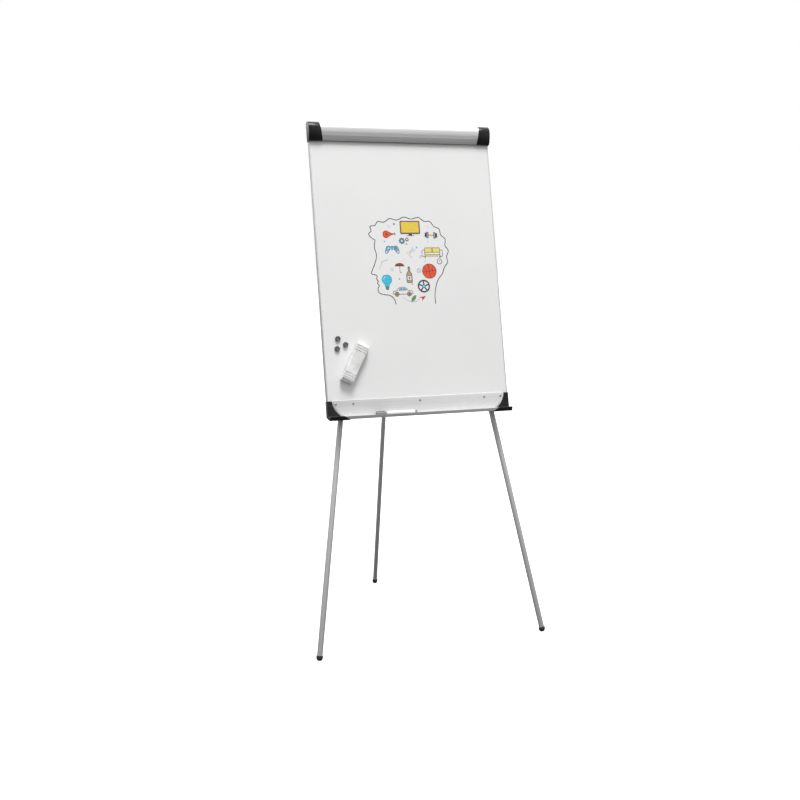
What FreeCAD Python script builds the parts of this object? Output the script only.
"""Flipchart easel: a leaning whiteboard on two splayed front legs and a hinged rear leg.

The easel is modelled standing on the floor, +Z up, with the board facing -Y.  Lengths are in
millimetres.  Three working frames are used:
  board frame  origin in the middle of the front face's bottom edge, X across, Y to the back of
               the board, Z up the leaning board
  leg frames   origin on the leg's upper pivot, Z up along the leg's own axis
  floor frame  the model's frame, for what stays level
"""
import FreeCAD, Part
import math
import os
import Sketcher

V = FreeCAD.Vector

# ---------------------------------------------------------------------- driving dimensions
DIMENSIONS = {
    "stance_shift": -366.5,       # front feet's line, measured along Y from the model's origin
    "board_width": 700.0,
    "board_height": 1060.0,
    "board_thick": 18.0,
    "sheet_thick": 0.5,
    "board_lean": 13.28,          # degrees back from upright
    "face_height": 835.5,         # floor to the front face's bottom edge
    "face_setback": 158.7,        # front feet's line to the front face's bottom edge
    "trim_wall": 1.2,
    "trim_front": 4.0,
    "trim_back": 8.0,
    "trim_proud": 1.0,
    "header_drop": 14.0,
    "header_wall": 1.2,
    "clamp_axis_depth": 10.0,     # clamp hinge, behind the front face
    "clamp_axis_height": 1066.5,  # clamp hinge, up the board
    "clamp_pin_radius": 2.5,
    "clamp_half_length": 316.0,
    "clamp_wall": 1.6,
    "clamp_bottom": 1004.0,
    "clamp_nose": 22.0,           # how far the clamp stands out in front of the face
    "clamp_nose_height": 1048.0,
    "clamp_brow_radius": 24.6,
    "clamp_cheek_radius": 76.1,
    "cap_inner": 300.0,           # where the clamp's end caps begin, from the middle
    "cap_outer": 353.0,
    "tray_half_length": 344.0,
    "tray_strip_height": 58.0,
    "tray_wall": 2.0,
    "corner_sweep_radius": 79.5,
    "corner_sweep_x": 255.0,
    "corner_sweep_height": 66.0,
    "screw_height": 45.0,
    "screw_shank_radius": 1.5,
    "screw_head_radius": 4.0,
    "leg_depth": 37.5,            # front legs' axes, behind the front face
    "leg_pivot_x": 139.1,
    "leg_pivot_height": 940.0,
    "leg_splay": 9.338,           # degrees
    "pivot_bolt_radius": 3.0,
    "bolt_play": 0.06,
    "front_outer_radius": 12.5,
    "front_outer_wall": 1.5,
    "front_inner_radius": 10.0,
    "front_inner_wall": 1.2,
    "front_outer_reach": 935.0,   # pivot to the outer tube's lower end
    "front_overlap": 250.0,
    "rear_hinge_depth": 45.0,
    "rear_hinge_height": 965.5,
    "rear_lean": 9.95,            # degrees forward from upright, going up the leg
    "rear_outer_radius": 11.0,
    "rear_outer_wall": 1.5,
    "rear_inner_radius": 8.5,
    "rear_inner_wall": 1.2,
    "rear_outer_reach": 955.0,
    "rear_overlap": 230.0,
    "foot_wall": 2.2,
    "guide_height": 45.0,
    "guide_width": 30.0,
    "guide_metal": 2.5,
    "hook_rail_height": 1020.0,
    "hook_spacing": 500.0,
    "hook_peg_radius": 4.0,
    "magnet_radius": 10.0,
    "magnet_thick": 7.0,
    "loose_gap": 0.3,
    "eraser_length": 152.0,
    "eraser_width": 45.0,
    "eraser_tilt": 28.9,          # degrees
    "marker_radius": 8.5,
}


class Size:
    """A number together with the spreadsheet formula that gives it."""

    def __init__(self, value, formula):
        self.value = value
        self.formula = formula

    def joined(self, sign, other, value, swap=False):
        first, second = self.formula, formula_of(other)
        if swap:
            first, second = second, first
        return Size(value, f"({first} {sign} {second})")

    def __add__(self, other):
        return self.joined("+", other, self.value + number(other))

    def __radd__(self, other):
        return self.joined("+", other, number(other) + self.value, swap=True)

    def __sub__(self, other):
        return self.joined("-", other, self.value - number(other))

    def __rsub__(self, other):
        return self.joined("-", other, number(other) - self.value, swap=True)

    def __mul__(self, other):
        return self.joined("*", other, self.value * number(other))

    __rmul__ = __mul__

    def __truediv__(self, other):
        return self.joined("/", other, self.value / number(other))

    def __neg__(self):
        return self * -1


def number(size):
    return size.value if isinstance(size, Size) else float(size)


def formula_of(size):
    return size.formula if isinstance(size, Size) else f"({float(size)!r})"


doc = FreeCAD.newDocument("flipchart_easel")
sheet = doc.addObject("Spreadsheet::Sheet", "Sizes")
SIZES = {}
for row, (alias, value) in enumerate(DIMENSIONS.items(), start=1):
    sheet.set(f"A{row}", alias)
    sheet.set(f"B{row}", str(value))
    sheet.setAlias(f"B{row}", alias)
    SIZES[alias] = Size(value, f"Sizes.{alias}")
doc.recompute()


def size(alias):
    return SIZES[alias]


# ---------------------------------------------------------------------- frames
SIDES = {"left": -1, "right": 1}
lean = math.radians(number(size("board_lean")))
BOARD = FreeCAD.Placement(
    V(0, number(size("stance_shift")) + number(size("face_setback")), number(size("face_height"))),
    FreeCAD.Rotation(V(1, 0, 0), -number(size("board_lean"))))


def shift(x, y, z):
    return FreeCAD.Placement(V(number(x), number(y), number(z)), FreeCAD.Rotation())


def front_leg_frame(side):
    """A front leg's pivot, with Z up the splayed leg."""
    turn = FreeCAD.Rotation(V(0, 1, 0), -side * number(size("leg_splay")))
    spot = V(side * number(size("leg_pivot_x")), number(size("leg_depth")),
             number(size("leg_pivot_height")))
    return BOARD * FreeCAD.Placement(spot, turn)


rear_hinge = BOARD.multVec(V(0, number(size("rear_hinge_depth")), number(size("rear_hinge_height"))))
REAR = FreeCAD.Placement(rear_hinge, FreeCAD.Rotation(V(1, 0, 0), number(size("rear_lean"))))


def reach_to_floor(frame):
    """Distance down a leg's axis from its pivot to the floor."""
    up = frame.Rotation.multVec(V(0, 0, 1))
    return frame.Base.z / up.z


# ---------------------------------------------------------------------- modelling helpers
NODES = {}


def bind(feature, prop, length):
    """Set a property to a size and keep it bound to the spreadsheet."""
    if isinstance(length, Size):
        feature.setExpression(prop, length.formula)
    else:
        setattr(feature, prop, length)


def keep(feature, label):
    """Make a finished feature one of the easel's pieces."""
    feature.Label = label
    NODES[label] = feature
    return feature


def new_body(name, place):
    body = doc.addObject("PartDesign::Body", name)
    body.Placement = place
    return body


def new_sketch(body, plane):
    sketch = body.newObject("Sketcher::SketchObject", f"{body.Name}_sketch")
    flat = next(item for item in body.Origin.OriginFeatures if item.Role == plane)
    sketch.AttachmentSupport = [(flat, "")]
    sketch.MapMode = "FlatFace"
    return sketch


def pin_point(sketch, edge, end, x, y):
    """Fix a sketch point at x, y with bound dimensions."""
    for kind, length in (("DistanceX", x), ("DistanceY", y)):
        index = sketch.addConstraint(Sketcher.Constraint(kind, -1, 1, edge, end, number(length)))
        if isinstance(length, Size):
            sketch.setExpression(f"Constraints[{index}]", length.formula)


def bind_radius(sketch, edge, radius):
    index = sketch.addConstraint(Sketcher.Constraint("Radius", edge, abs(number(radius))))
    if isinstance(radius, Size):
        sketch.setExpression(f"Constraints[{index}]", radius.formula)


def draw_arc(sketch, start, end, radius, centre_on_left):
    """An arc between two points; returns its edge and which of its ends comes first."""
    chord = end - start
    middle = (start + end) * 0.5
    sideways = V(-chord.y, chord.x, 0).normalize()
    offset = math.sqrt(max(radius * radius - (chord.Length / 2) ** 2, 0.0))
    centre = middle + sideways * (offset if centre_on_left else -offset)
    first, last = (start, end) if centre_on_left else (end, start)
    angles = [math.atan2(point.y - centre.y, point.x - centre.x) for point in (first, last)]
    circle = Part.Circle(centre, V(0, 0, 1), radius)
    edge = sketch.addGeometry(Part.ArcOfCircle(circle, angles[0], angles[1]), False)
    return edge, (1 if centre_on_left else 2)


def outline(sketch, corners, arcs=None):
    """A closed outline.  arcs maps a side's number to (radius, whether its centre is on the left)."""
    arcs = arcs or {}
    points = [V(number(x), number(y), 0) for x, y in corners]
    sides = []
    for index, start in enumerate(points):
        end = points[(index + 1) % len(points)]
        if index in arcs:
            radius, centre_on_left = arcs[index]
            sides.append(draw_arc(sketch, start, end, number(radius), centre_on_left))
            bind_radius(sketch, sides[-1][0], radius)
        else:
            sides.append((sketch.addGeometry(Part.LineSegment(start, end), False), 1))
    for index, (edge, begin) in enumerate(sides):
        before, before_begin = sides[index - 1]
        sketch.addConstraint(Sketcher.Constraint("Coincident", before, 3 - before_begin, edge, begin))
        pin_point(sketch, edge, begin, *corners[index])
    return sketch


def ring(sketch, *radii, x=0.0, y=0.0):
    """Concentric circles about x, y."""
    for radius in radii:
        centre = V(number(x), number(y), 0)
        edge = sketch.addGeometry(Part.Circle(centre, V(0, 0, 1), number(radius)), False)
        pin_point(sketch, edge, 3, x, y)
        bind_radius(sketch, edge, radius)
    return sketch


def pad(body, sketch, length, reverse=False):
    feature = body.newObject("PartDesign::Pad", f"{sketch.Name}_pad")
    feature.Profile = sketch
    bind(feature, "Length", length)
    feature.Reversed = reverse
    sketch.Visibility = False
    return feature


def drill_through(body, sketch):
    """Cut a sketch right through a body, both ways from its plane."""
    feature = body.newObject("PartDesign::Pocket", f"{sketch.Name}_cut")
    feature.Profile = sketch
    feature.Type = "ThroughAll"
    feature.SideType = "Symmetric"
    return feature


def spun(name, place, corners, arcs=None):
    """A turned piece: an outline of (radius, height) corners spun about the frame's Z."""
    body = new_body(name, place)
    sketch = outline(new_sketch(body, "XZ_Plane"), corners, arcs)
    feature = body.newObject("PartDesign::Revolution", f"{name}_turn")
    feature.Profile = sketch
    feature.ReferenceAxis = (sketch, ["V_Axis"])
    feature.Angle = 360
    return body


def profile_along_x(name, place, start, length, corners, arcs=None):
    """An extrusion along X from start: corners are (y, z)."""
    body = new_body(name, place * shift(start, 0, 0))
    pad(body, outline(new_sketch(body, "YZ_Plane"), corners, arcs), length)
    return body


def profile_along_z(name, place, start, length, corners):
    """An extrusion along Z from start: corners are (x, y)."""
    body = new_body(name, place * shift(0, 0, start))
    pad(body, outline(new_sketch(body, "XY_Plane"), corners), length)
    return body


def slab(name, place, x_span, y_span, z_span):
    """A plain block between three spans of a frame."""
    block = doc.addObject("Part::Box", name)
    block.Placement = place * shift(x_span[0], y_span[0], z_span[0])
    for prop, span in (("Length", x_span), ("Width", y_span), ("Height", z_span)):
        bind(block, prop, span[1] - span[0])
    return block


def rod(name, place, radius, length):
    """A cylinder along the frame's Z."""
    cylinder = doc.addObject("Part::Cylinder", name)
    cylinder.Placement = place
    bind(cylinder, "Radius", radius)
    bind(cylinder, "Height", length)
    return cylinder


ALONG_X = FreeCAD.Placement(V(0, 0, 0), FreeCAD.Rotation(V(0, 1, 0), 90))
ALONG_Y = FreeCAD.Placement(V(0, 0, 0), FreeCAD.Rotation(V(1, 0, 0), -90))


def united(name, *features):
    whole = doc.addObject("Part::MultiFuse", name)
    whole.Shapes = list(features)
    whole.Refine = True
    return whole


def without(name, base, *tools):
    for index, tool in enumerate(tools):
        cut = doc.addObject("Part::Cut", f"{name}_cut{index}")
        cut.Base = base
        cut.Tool = tool
        base = cut
    return base


def grouped(name, features):
    group = doc.addObject("Part::Compound", name)
    group.Links = list(features)
    return group


def span_of(side, inner, outer):
    """The X span of a piece between two distances from the middle, on one side."""
    return (inner, outer) if side > 0 else (-outer, -inner)


# ---------------------------------------------------------------------- board
half_width = size("board_width") / 2
panel_half = half_width - size("trim_wall")
board_back = size("board_thick")
back_of_trim = board_back + size("trim_proud")


def make_board():
    """Enamelled front sheet, core and back sheet between two side trims and a header rail."""
    width = (-panel_half, panel_half)
    height = (0.0, size("board_height"))
    sheet_thick = size("sheet_thick")
    layers = {
        "writing_panel": (0.0, sheet_thick),
        "panel_core": (sheet_thick, board_back - sheet_thick),
        "back_sheet": (board_back - sheet_thick, board_back),
    }
    for label, depth in layers.items():
        keep(slab(label, BOARD, width, depth, height), label)
    for word, side in SIDES.items():
        proud = -size("trim_proud")
        corners = [
            (half_width, proud), (half_width, back_of_trim),
            (half_width - size("trim_back"), back_of_trim),
            (half_width - size("trim_back"), board_back),
            (panel_half, board_back), (panel_half, 0.0),
            (half_width - size("trim_front"), 0.0),
            (half_width - size("trim_front"), proud)]
        corners = [(side * x, y) for x, y in corners]
        label = f"side_trim_{word}"
        keep(profile_along_z(label, BOARD, 0, size("board_height"), corners), label)


EAR_X = 322.0
EAR_METAL = 3.0


def make_header_rail():
    """A channel over the board's top edge, with an ear at each end for the clamp's hinge."""
    wall = size("header_wall")
    top = size("board_height")
    front = -size("trim_proud")
    foot = top - size("header_drop")
    corners = [
        (front - wall, foot), (front - wall, top + wall), (back_of_trim + wall, top + wall),
        (back_of_trim + wall, foot), (back_of_trim, foot), (back_of_trim, top),
        (front, top), (front, foot)]
    keep(profile_along_x("header_rail", BOARD, -half_width, size("board_width"), corners),
         "header_rail")
    ear_radius, ear_half, pin_end = 4.2, 4.0, 345.0
    depth, height = size("clamp_axis_depth"), size("clamp_axis_height")
    corners = [
        (depth - ear_half, top + wall), (depth - ear_half, height),
        (depth + ear_half, height), (depth + ear_half, top + wall)]
    for word, side in SIDES.items():
        start = span_of(side, EAR_X, EAR_X + EAR_METAL)[0]
        label = f"clamp_ear_{word}"
        ear = new_body(label, BOARD * shift(start, 0, 0))
        sketch = outline(new_sketch(ear, "YZ_Plane"), corners, {1: (ear_radius, False)})
        ring(sketch, size("clamp_pin_radius"), x=depth, y=height)
        pad(ear, sketch, EAR_METAL)
        keep(ear, label)
        place = BOARD * shift(span_of(side, EAR_X, pin_end)[0], depth, height) * ALONG_X
        label = f"clamp_pin_{word}"
        keep(rod(label, place, size("clamp_pin_radius"), pin_end - EAR_X), label)
        make_spring(word, side, EAR_X + EAR_METAL)


def make_spring(word, side, start):
    """A short torsion spring coiled on the clamp's pin."""
    wire, coil, pitch, turns = 0.45, 3.5, 1.25, 5
    offset = start + 1.0 if side > 0 else -start - 1.0 - pitch * turns
    helix = Part.makeHelix(pitch, pitch * turns, coil)
    section = Part.Wire(Part.Circle(V(coil, 0, 0), V(0, 1, 0), wire).toShape())
    coiled = Part.Wire(helix).makePipeShell([section], True, True)
    spring = doc.addObject("Part::Feature", f"clamp_spring_{word}")
    spring.Shape = coiled
    spring.Placement = BOARD * shift(offset, size("clamp_axis_depth"),
                                     size("clamp_axis_height")) * ALONG_X
    keep(spring, f"clamp_spring_{word}")


# ---------------------------------------------------------------------- paper clamp
CLAMP_BACK = 16.0
CLAMP_BACK_FOOT = 1067.2
CLAMP_TOP = 1072.6
BROW_X = 2.6


def clamp_arc_depth(radius, height):
    """Depth of the clamp's front curve of a given radius at a height up the board."""
    centre = size("clamp_cheek_radius") - size("clamp_nose")
    rise = number(size("clamp_nose_height")) - height
    return number(centre) - math.sqrt(number(radius) ** 2 - rise ** 2)


def clamp_profile(outer, inner, foot):
    """The curved wall between two offsets from the clamp's outside face; corners and arcs."""
    nose = size("clamp_nose_height")
    cheek = size("clamp_cheek_radius")
    brow = size("clamp_brow_radius")
    corners = [
        (CLAMP_BACK + outer, CLAMP_BACK_FOOT), (CLAMP_BACK + outer, CLAMP_TOP - 2 + outer),
        (CLAMP_BACK - 2 + outer, CLAMP_TOP + outer), (BROW_X, CLAMP_TOP + outer),
        (-size("clamp_nose") - outer, nose),
        (clamp_arc_depth(cheek + outer, foot), foot),
        (clamp_arc_depth(cheek - inner, foot), foot),
        (-size("clamp_nose") + inner, nose), (BROW_X, CLAMP_TOP - inner),
        (CLAMP_BACK - inner, CLAMP_TOP - inner), (CLAMP_BACK - inner, CLAMP_BACK_FOOT)]
    arcs = {
        3: (brow + outer, True), 4: (cheek + outer, True),
        6: (cheek - inner, False), 7: (brow - inner, False)}
    return corners, arcs


def make_clamp_bar():
    """The rounded aluminium bar that presses the pad, and the rubber strip along its lip."""
    length = size("clamp_half_length")
    corners, arcs = clamp_profile(0.0, size("clamp_wall"), number(size("clamp_bottom")))
    keep(profile_along_x("clamp_bar", BOARD, -length, 2 * length, corners, arcs), "clamp_bar")
    inside = size("clamp_cheek_radius") - size("clamp_wall")
    foot = number(size("clamp_bottom"))
    strip_top, grip_face = foot + 7.0, -0.5
    corners = [
        (clamp_arc_depth(inside, foot), foot), (grip_face, foot), (grip_face, foot + 4.0),
        (clamp_arc_depth(inside, strip_top), strip_top)]
    grip_half = size("cap_inner") - 1.0
    keep(profile_along_x("clamp_grip_strip", BOARD, -grip_half, 2 * grip_half, corners,
                         {3: (inside, True)}), "clamp_grip_strip")


def make_clamp_cap(word, side):
    """A moulded end cap: a sleeve over the bar, an end wall and a boss that turns on the pin."""
    label = f"clamp_end_cap_{word}"
    proud, end_wall = 1.6, 2.0
    foot = number(size("clamp_bottom")) - 1.6
    inner_x, outer_x = size("cap_inner"), size("cap_outer")

    def along(inner, outer):
        first, last = span_of(side, number(inner), number(outer))
        return first, last - first

    corners, arcs = clamp_profile(proud, size("clamp_wall"), foot)
    start, _ = along(inner_x, outer_x)
    shell = profile_along_x(f"{label}_shell", BOARD, start, outer_x - inner_x, corners, arcs)
    closed = corners[:6] + [(CLAMP_BACK + proud, foot)]
    outer_arcs = {index: arcs[index] for index in (3, 4)}
    start, thick = along(outer_x - end_wall, outer_x)
    end = profile_along_x(f"{label}_end", BOARD, start, thick, closed, outer_arcs)
    start, boss_length = along(334.0, outer_x - 1.0)
    axis = BOARD * shift(start, size("clamp_axis_depth"), size("clamp_axis_height")) * ALONG_X
    boss = rod(f"{label}_boss", axis, 4.6, boss_length)
    start, bore_length = along(333.0, 346.5)
    axis = BOARD * shift(start, size("clamp_axis_depth"), size("clamp_axis_height")) * ALONG_X
    bore = rod(f"{label}_bore", axis, size("clamp_pin_radius") + size("bolt_play"), bore_length)
    bar_corners, bar_arcs = clamp_profile(0.0, 4.0, foot - 2.0)
    start, bar_length = along(299.0, size("clamp_half_length"))
    bar = profile_along_x(f"{label}_bar", BOARD, start, bar_length, bar_corners, bar_arcs)
    slant = new_body(f"{label}_slant", BOARD * shift(0, -40.0, 0))
    slant_corners = [(299.0, 995.0), (301.0, 1002.0), (312.5, 1076.0), (299.0, 1080.0)]
    slant_corners = [(side * x, z) for x, z in slant_corners]
    pad(slant, outline(new_sketch(slant, "XZ_Plane"), slant_corners), 80.0, reverse=True)
    slot = slab(f"{label}_slot", BOARD, span_of(side, EAR_X - 1.2, EAR_X + EAR_METAL + 1.2),
                (12.0, 20.0), (1062.0, 1069.8))
    solid = united(f"{label}_whole", shell, end, boss)
    keep(without(label, solid, bore, bar, slant, slot), label)


# ---------------------------------------------------------------------- pad hooks
def make_pad_hooks():
    """A channel under the clamp with two pegs that slide along it to suit a pad's holes."""
    base = number(size("hook_rail_height"))
    corners = [
        (0, base), (-4.4, base), (-4.4, base + 5), (-3.6, base + 5), (-3.6, base + 2),
        (-1, base + 2), (-1, base + 18), (-3.6, base + 18), (-3.6, base + 15),
        (-4.4, base + 15), (-4.4, base + 20), (0, base + 20)]
    keep(profile_along_x("hook_rail", BOARD, -290.0, 580.0, corners), "hook_rail")
    for word, side in SIDES.items():
        middle = side * number(size("hook_spacing")) / 2
        place = BOARD * shift(middle, 0, base + 10)
        slider = slab(f"hook_{word}_slider", place, (-12, 12), (-3.3, -1.3), (-7.6, 7.6))
        neck = slab(f"hook_{word}_neck", place, (-8, 8), (-5.2, -3.3), (-4.4, 4.4))
        peg = rod(f"hook_{word}_peg", place * shift(0, -15.0, 0) * ALONG_Y,
                  size("hook_peg_radius"), 10.0)
        label = f"pad_hook_{word}"
        keep(united(label, slider, neck, peg), label)


# ---------------------------------------------------------------------- pen tray
LIP_FOOT = (-28.0, -11.8)
LIP_TOP = (-33.5, -1.0)


def sweep_tool(name, side, radius, depth, height_span):
    """What lies outside the corner's round sweep, as a tool that trims a plate."""
    reach = span_of(side, size("corner_sweep_x"), half_width + 10)
    block = slab(f"{name}_block", BOARD, reach, depth, height_span)
    centre = BOARD * shift(side * size("corner_sweep_x"), -20.0, size("corner_sweep_height"))
    disc = rod(f"{name}_disc", centre * ALONG_Y, radius, 40.0)
    return without(f"{name}_rim", block, disc)


def make_pen_tray():
    """One extrusion: a back strip on the face, a level floor and a lip that leans outward."""
    wall = size("tray_wall")
    strip_top = size("tray_strip_height")
    corners = [
        (0, -5.2), LIP_FOOT, LIP_TOP, (-31.5, -0.6), (-27.2, -9.97), (-wall, -4.03),
        (-wall, strip_top), (0, strip_top)]
    half = size("tray_half_length")
    tray = profile_along_x("tray_blank", BOARD, -half, 2 * half, corners)
    rims = [sweep_tool(f"tray_{word}", side, size("corner_sweep_radius") - 4.0, (-3.0, 0.5),
                       (-3.9, 60.0)) for word, side in SIDES.items()]
    keep(without("pen_tray", tray, *rims), "pen_tray")


def make_tray_screws():
    """Pan-head screws through the strip into the board's core."""
    head_face, head_thick, shank_start, shank_length = -4.0, 2.0, -2.5, 14.0
    screws = []
    for index, x in enumerate((-320.0, -254.0, 0.0, 254.0, 320.0)):
        place = BOARD * shift(x, 0, size("screw_height"))
        head = rod(f"screw{index}_head", place * shift(0, head_face, 0) * ALONG_Y,
                   size("screw_head_radius"), head_thick)
        shank = rod(f"screw{index}_shank", place * shift(0, shank_start, 0) * ALONG_Y,
                    size("screw_shank_radius"), shank_length)
        screws.append(united(f"screw{index}", head, shank))
    keep(grouped("tray_screws", screws), "tray_screws")


def make_corner_cap(word, side):
    """A moulded corner: a swept wing on the face, a side wall, and the tray's closed end."""
    label = f"corner_cap_{word}"
    half = size("tray_half_length")
    skin, overlap, rear_skin, foot = 1.5, 24.0, 1.2, -3.0
    wing_face = -4.2
    outer = half_width + skin
    wing_top = number(size("tray_strip_height")) - 1.0
    proud = -size("trim_proud")
    rear_face = number(back_of_trim) + rear_skin
    wing_block = slab(f"{label}_wing", BOARD, span_of(side, size("corner_sweep_x"), outer),
                      (wing_face, proud), (foot, wing_top))
    centre = BOARD * shift(side * size("corner_sweep_x"), -20.0, size("corner_sweep_height"))
    disc = rod(f"{label}_disc", centre * ALONG_Y, size("corner_sweep_radius"), 40.0)
    wing = without(f"{label}_sweep", wing_block, disc)
    cheek = slab(f"{label}_cheek", BOARD, span_of(side, half_width, outer),
                 (wing_face, rear_face), (foot, wing_top))
    rear = slab(f"{label}_rear", BOARD, span_of(side, half_width - overlap, outer),
                (number(back_of_trim), rear_face), (foot, wing_top))
    under = slab(f"{label}_under", BOARD, span_of(side, half_width - overlap, outer),
                 (0.0, rear_face), (foot, 0.0))
    start, length = span_of(side, half, outer)[0], outer - half
    end_corners = [(2.0, 0.0), (2.0, -7.9), (-28.9, -14.7), (-36.2, -0.9), (-34.0, 1.0),
                   (-4.2, 3.0), (-2.0, 0.0)]
    end = profile_along_x(f"{label}_end", BOARD, start, length, end_corners)
    sleeve_inner = 268.0
    start = span_of(side, sleeve_inner, half)[0]
    sleeve_corners = [(-12.0, -8.03), LIP_FOOT, LIP_TOP, (-34.0, 1.0), (-36.2, -0.9),
                      (-28.9, -14.7), (-12.0, -10.7)]
    sleeve = profile_along_x(f"{label}_sleeve", BOARD, start, half - sleeve_inner,
                             sleeve_corners)
    slant = new_body(f"{label}_slant", BOARD * shift(0, -60.0, 0))
    slant_corners = [(267.0, -14.7), (274.0, -14.7), (300.0, 1.2), (267.0, 3.0)]
    slant_corners = [(side * x, z) for x, z in slant_corners]
    pad(slant, outline(new_sketch(slant, "XZ_Plane"), slant_corners), 60.0, reverse=True)
    trimmed = without(f"{label}_lip", sleeve, slant)
    keep(united(label, wing, cheek, rear, under, end, trimmed), label)


# ---------------------------------------------------------------------- leg fittings
RIVET_RADIUS = 3.2
RIVET_RISE = 1.4


def rivets(name, spots, face):
    """Low rivet heads on a plate that lies on the board's back; spots are (x, z) on the board."""
    heads = []
    for index, (x, z) in enumerate(spots):
        place = BOARD * shift(x, number(face) - 0.5, z) * ALONG_Y
        heads.append(rod(f"{name}_rivet{index}", place, RIVET_RADIUS, RIVET_RISE + 0.5))
    return heads


def make_leg_pivot(word, side):
    """The bracket, with its spacer boss, and the bolt that a front leg swings on."""
    x = side * size("leg_pivot_x")
    depth = number(board_back)
    place = BOARD * shift(x, 0, size("leg_pivot_height"))
    plate_back, boss_end, boss_radius, washer_thick = depth + 2.5, 24.6, 8.0, 1.5
    plate = slab(f"pivot_{word}_plate", place, (-30, 30), (depth, plate_back), (-35, 35))
    boss = rod(f"pivot_{word}_boss", place * shift(0, depth, 0) * ALONG_Y, boss_radius,
               boss_end - depth)
    hole = rod(f"pivot_{word}_hole", place * shift(0, depth - 1, 0) * ALONG_Y,
               size("pivot_bolt_radius"), 10.0)
    label = f"leg_pivot_bracket_{word}"
    middle = number(size("leg_pivot_height"))
    spots = [(x + across, middle + up) for across in (-22, 22) for up in (-27, 27)]
    solid = united(f"pivot_{word}_whole", plate, boss, *rivets(f"pivot_{word}", spots, plate_back))
    keep(without(label, solid, hole), label)
    washer_face = 50.4
    shank = rod(f"bolt_{word}_shank", place * shift(0, depth, 0) * ALONG_Y,
                size("pivot_bolt_radius"), washer_face + 1.0 - depth)
    washer = rod(f"bolt_{word}_washer", place * shift(0, washer_face, 0) * ALONG_Y,
                 boss_radius, washer_thick)
    head = doc.addObject("Part::Prism", f"bolt_{word}_head")
    head.Polygon = 6
    head.Circumradius = 6.0
    head.Height = 4.0
    head.Placement = place * shift(0, washer_face + washer_thick, 0) * ALONG_Y
    label = f"leg_pivot_bolt_{word}"
    keep(united(label, shank, washer, head), label)


def make_leg_guide(word, side):
    """A strap across the back that the front leg swings behind, with a stop at each end."""
    metal = size("guide_metal")
    gap = 0.45
    radius = number(size("front_outer_radius"))
    splay = math.radians(number(size("leg_splay")))
    low = number(size("guide_height"))
    band = number(size("guide_width")) / 2
    drop = number(size("leg_pivot_height")) - low - band
    reach = number(size("leg_pivot_x")) + drop * math.tan(splay)
    splayed_stop = reach + band * math.tan(splay) + radius / math.cos(splay) + gap
    folded_stop = number(size("leg_pivot_x")) - radius - gap
    back = number(size("leg_depth")) + radius + 1.0
    ear = 14.0
    corners = [
        (folded_stop - metal - ear, board_back), (folded_stop, board_back),
        (folded_stop, back), (splayed_stop, back), (splayed_stop, board_back),
        (splayed_stop + metal + ear, board_back), (splayed_stop + metal + ear, board_back + metal),
        (splayed_stop + metal, board_back + metal), (splayed_stop + metal, back + metal),
        (folded_stop - metal, back + metal), (folded_stop - metal, board_back + metal),
        (folded_stop - metal - ear, board_back + metal)]
    corners = [(side * x, y) for x, y in corners]
    label = f"leg_guide_{word}"
    strap = profile_along_z(f"{label}_strap", BOARD, low, size("guide_width"), corners)
    feet = (folded_stop - metal - ear / 2, splayed_stop + metal + ear / 2)
    spots = [(side * x, low + band + up) for x in feet for up in (-8, 8)]
    keep(united(label, strap, *rivets(label, spots, board_back + metal)), label)


def make_rear_hinge():
    """A two-eared bracket on the back and the pin that the rear leg swings on."""
    depth, height = size("rear_hinge_depth"), size("rear_hinge_height")
    plate_back = board_back + 2.5
    plate = slab("rear_hinge_plate", BOARD, (-35.0, 35.0), (board_back, plate_back),
                 (height - 32, height + 32))
    ear_inner, ear_outer, ear_radius, ear_half = 12.0, 14.5, 9.0, 8.8
    ears = []
    for word, side in SIDES.items():
        start = span_of(side, ear_inner, ear_outer)[0]
        corners = [
            (plate_back, height - 22), (depth, height - ear_half), (depth, height + ear_half),
            (plate_back, height + 22)]
        ears.append(profile_along_x(f"rear_hinge_ear_{word}", BOARD, start,
                                    ear_outer - ear_inner, corners, {1: (ear_radius, True)}))
    axis = BOARD * shift(-20.0, depth, height) * ALONG_X
    hole = rod("rear_hinge_hole", axis, size("pivot_bolt_radius"), 40.0)
    spots = [(x, number(height) + up) for x in (-27, 27) for up in (-24, 24)]
    heads = rivets("rear_hinge", spots, plate_back)
    solid = united("rear_hinge_whole", plate, *ears, *heads)
    keep(without("rear_hinge_bracket", solid, hole), "rear_hinge_bracket")
    shank = rod("rear_pin_shank", BOARD * shift(-15.5, depth, height) * ALONG_X,
                size("pivot_bolt_radius"), 31.0)
    heads = [rod(f"rear_pin_head_{word}", BOARD * shift(x, depth, height) * ALONG_X, 5.5, 2.2)
             for word, x in (("left", -ear_outer - 2.2), ("right", ear_outer))]
    keep(united("rear_hinge_pin", shank, *heads), "rear_hinge_pin")


# ---------------------------------------------------------------------- telescopic legs
def make_tube(label, frame, low, high, radius, wall, cross_plane=None):
    """A round tube along a leg, drilled across at its pivot where a plane is given."""
    tube = new_body(label, frame)
    sketch = ring(new_sketch(tube, "XY_Plane"), radius, radius - wall)
    sketch.AttachmentOffset = shift(0, 0, low)
    pad(tube, sketch, high - low)
    if cross_plane:
        hole = size("pivot_bolt_radius") + size("bolt_play")
        drill_through(tube, ring(new_sketch(tube, cross_plane), hole))
    keep(tube, label)


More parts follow.
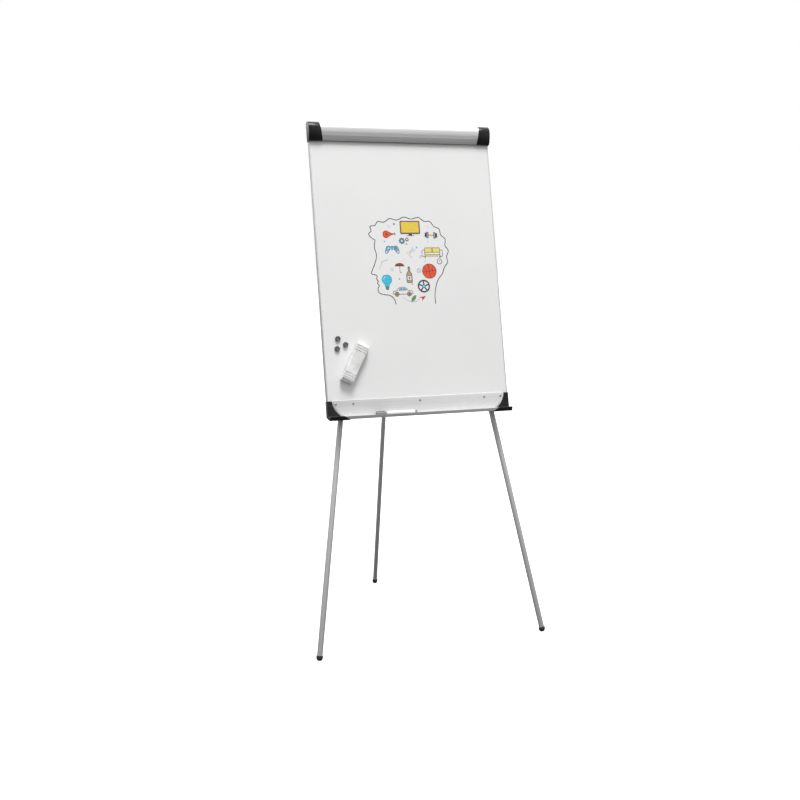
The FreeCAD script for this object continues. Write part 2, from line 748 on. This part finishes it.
def make_leg(name, frame, kind, cross_plane, top):
    """One telescopic leg: outer tube, top cap, collar, lock knob, inner tube, bush and foot."""
    radius, wall = size(f"{kind}_outer_radius"), size(f"{kind}_outer_wall")
    inner, inner_wall = size(f"{kind}_inner_radius"), size(f"{kind}_inner_wall")
    reach = number(size(f"{kind}_outer_reach"))
    inner_top = -(reach - number(size(f"{kind}_overlap")))
    floor = -reach_to_floor(frame)
    bore = radius - wall
    make_tube(f"{name}_tube", frame, -reach, top, radius, wall, cross_plane)
    label = f"{name}_top_cap"
    keep(spun(label, frame, [(0, top - 10), (bore, top - 10), (bore, top), (radius, top),
                             (radius, top + 1.5), (radius - 3, top + 4), (0, top + 4)]), label)
    make_collar(name, frame, radius, inner, reach)
    make_knob(name, frame, radius, inner, reach)
    make_tube(f"{name}_inner_tube", frame, floor + 7.0, inner_top, inner, inner_wall)
    label = f"{name}_glide_bush"
    rim = bore - size("loose_gap")
    keep(spun(label, frame, [
        (inner - inner_wall, inner_top - 12), (inner - inner_wall, inner_top), (inner, inner_top),
        (inner, inner_top - 22), (rim, inner_top - 22), (rim, inner_top + 2), (0, inner_top + 2),
        (0, inner_top - 12)]), label)
    make_foot(name, frame, inner, floor)


def collar_radius(radius):
    return radius + 3.0


def make_collar(name, frame, radius, inner, reach):
    """The moulded collar at the outer tube's lower end, with a boss for the lock knob."""
    outside = collar_radius(radius)
    play = size("loose_gap")
    sleeve = spun(f"{name}_collar_sleeve", frame, [
        (inner + play, -reach - 25), (outside - 1, -reach - 25), (outside, -reach - 23),
        (outside, -reach + 18), (outside - 1.5, -reach + 20), (radius, -reach + 20),
        (radius, -reach), (inner + play, -reach)])
    axis = frame * shift(0, 0, -reach - 13) * ALONG_Y
    boss = rod(f"{name}_collar_boss", axis * shift(0, 0, inner + play + 0.5), 7.5,
               outside - inner + 3.5)
    hole = rod(f"{name}_collar_hole", axis, size("pivot_bolt_radius") + size("bolt_play"), 40.0)
    solid = united(f"{name}_collar_whole", sleeve, boss)
    label = f"{name}_collar"
    keep(without(label, solid, hole), label)


def make_knob(name, frame, radius, inner, reach):
    """A lobed lock knob whose screw bears on the inner tube."""
    label = f"{name}_knob"
    tip, neck = number(inner) + 0.4, number(collar_radius(radius)) + 4.8
    lobes, rim, thick = 6, 12.0, 11.0
    axis = frame * shift(0, 0, -reach - 13) * ALONG_Y
    knob = new_body(label, axis)
    screw = ring(new_sketch(knob, "XY_Plane"), size("pivot_bolt_radius"))
    screw.AttachmentOffset = shift(0, 0, tip)
    pad(knob, screw, neck - tip)
    head = ring(new_sketch(knob, "XY_Plane"), rim)
    head.AttachmentOffset = shift(0, 0, neck)
    pad(knob, head, thick)
    notch = ring(new_sketch(knob, "XY_Plane"), 3.6, x=rim + 1.2)
    notch.AttachmentOffset = shift(0, 0, neck)
    scallop = knob.newObject("PartDesign::Pocket", f"{label}_scallop")
    scallop.Profile = notch
    scallop.Length = thick
    scallop.Reversed = True
    pattern = knob.newObject("PartDesign::PolarPattern", f"{label}_lobes")
    pattern.Originals = [scallop]
    pattern.Axis = (next(item for item in knob.Origin.OriginFeatures if item.Role == "Z_Axis"), [""])
    pattern.Angle = 360
    pattern.Occurrences = lobes
    knob.Tip = pattern
    keep(knob, label)


def make_foot(name, frame, inner, floor):
    """A rubber foot with a round end, ground flat where it meets the floor."""
    outside = inner + size("foot_wall")
    radius = number(outside)
    middle, mouth, heel = floor + radius - 1.4, floor + 17.0, floor + 7.0
    blank = spun(f"{name}_foot_blank", frame, [
        (0, middle - radius), (outside, middle), (outside - 0.4, mouth), (inner, mouth),
        (inner, heel), (0, heel)], {0: (outside, True)})
    down = frame.Base + frame.Rotation.multVec(V(0, 0, floor))
    ground = slab(f"{name}_ground", shift(down.x, down.y, 0), (-30, 30), (-30, 30), (-30, 0))
    label = f"{name}_foot"
    keep(without(label, blank, ground), label)


# ---------------------------------------------------------------------- loose accessories
def make_magnets():
    """Three round button magnets on the lower left of the face."""
    gap = size("loose_gap")
    spots = {"upper": (-294.8, 280.7), "middle": (-267.4, 258.0), "lower": (-299.3, 244.7)}
    for word, (x, z) in spots.items():
        radius, thick = size("magnet_radius"), size("magnet_thick")
        place = BOARD * shift(x, -gap, z) * FreeCAD.Placement(V(0, 0, 0),
                                                              FreeCAD.Rotation(V(1, 0, 0), 90))
        label = f"magnet_{word}"
        keep(spun(label, place, [(0, 0), (radius - 0.5, 0), (radius, 0.5), (radius, thick - 1.5),
                                 (radius - 1.5, thick), (0, thick)]), label)


def make_eraser():
    """A felt-faced eraser held on the face, tilted."""
    length, width = size("eraser_length"), size("eraser_width")
    gap = size("loose_gap")
    turn = FreeCAD.Placement(V(0, 0, 0), FreeCAD.Rotation(V(0, 1, 0), number(size("eraser_tilt"))))
    place = BOARD * shift(-240.6, -gap, 190.0) * turn
    felt_thick, height = 5.0, 26.0
    bevel_rise, bevel_run = 6.0, 9.0
    keep(slab("eraser_felt", place, (-width / 2 + 1, width / 2 - 1), (-felt_thick, 0.0),
              (-length / 2 + 1, length / 2 - 1)), "eraser_felt")
    corners = [
        (-felt_thick, -length / 2), (-felt_thick, length / 2), (-height + bevel_rise, length / 2),
        (-height, length / 2 - bevel_run), (-height, -length / 2 + bevel_run),
        (-height + bevel_rise, -length / 2)]
    keep(profile_along_x("eraser_body", place, -width / 2, width, corners), "eraser_body")


def make_marker():
    """A whiteboard marker lying in the tray: barrel, push-on cap and end plug."""
    radius = size("marker_radius")
    floor_top = BOARD.multVec(V(0, -15.0, -6.9))
    start_x, cap_length, barrel_length, plug_length = -176.0, 38.0, 108.0, 9.0
    axis = shift(start_x, floor_top.y, floor_top.z + number(radius) + 0.6) * ALONG_X
    wall, insert = 1.2, 14.0
    cap = spun("marker_cap", axis, [
        (0, 0), (radius - 1, 0), (radius, 1.5), (radius, cap_length), (radius - wall, cap_length),
        (radius - wall, 3), (0, 3)])
    nose = cap_length - insert
    barrel = spun("marker_barrel", axis, [
        (0, nose - 10), (2.5, nose - 10), (4.0, nose), (radius - wall, nose + 2),
        (radius - wall, cap_length), (radius, cap_length), (radius, cap_length + barrel_length),
        (0, cap_length + barrel_length)])
    end = cap_length + barrel_length
    plug = spun("marker_plug", axis, [
        (0, end), (radius - 0.4, end), (radius - 0.4, end + plug_length - 1.5),
        (radius - 2, end + plug_length), (0, end + plug_length)])
    for piece in (cap, barrel, plug):
        keep(piece, piece.Name)


# ---------------------------------------------------------------------- the whole easel
make_board()
make_header_rail()
make_clamp_bar()
make_pad_hooks()
make_pen_tray()
make_tray_screws()
for word, side in SIDES.items():
    make_clamp_cap(word, side)
    make_corner_cap(word, side)
    make_leg_pivot(word, side)
    make_leg_guide(word, side)
    make_leg(f"front_leg_{word}", front_leg_frame(side), "front", "XZ_Plane", 25.0)
make_rear_hinge()
make_leg("rear_leg", REAR, "rear", "YZ_Plane", 30.0)
make_magnets()
make_eraser()
make_marker()
doc.recompute()

failed = [item.Name for item in doc.Objects if "Invalid" in item.State or "Error" in item.State]
if failed:
    raise RuntimeError(f"features that did not compute: {failed}")

os.makedirs("parts", exist_ok=True)
for label, feature in NODES.items():
    shape = feature.Shape
    if shape.isNull() or not shape.isValid() or not shape.Solids:
        raise RuntimeError(f"{label} is not a sound solid")
    shape.exportStep(f"parts/{label}.step")
print(f"{len(NODES)} pieces written")
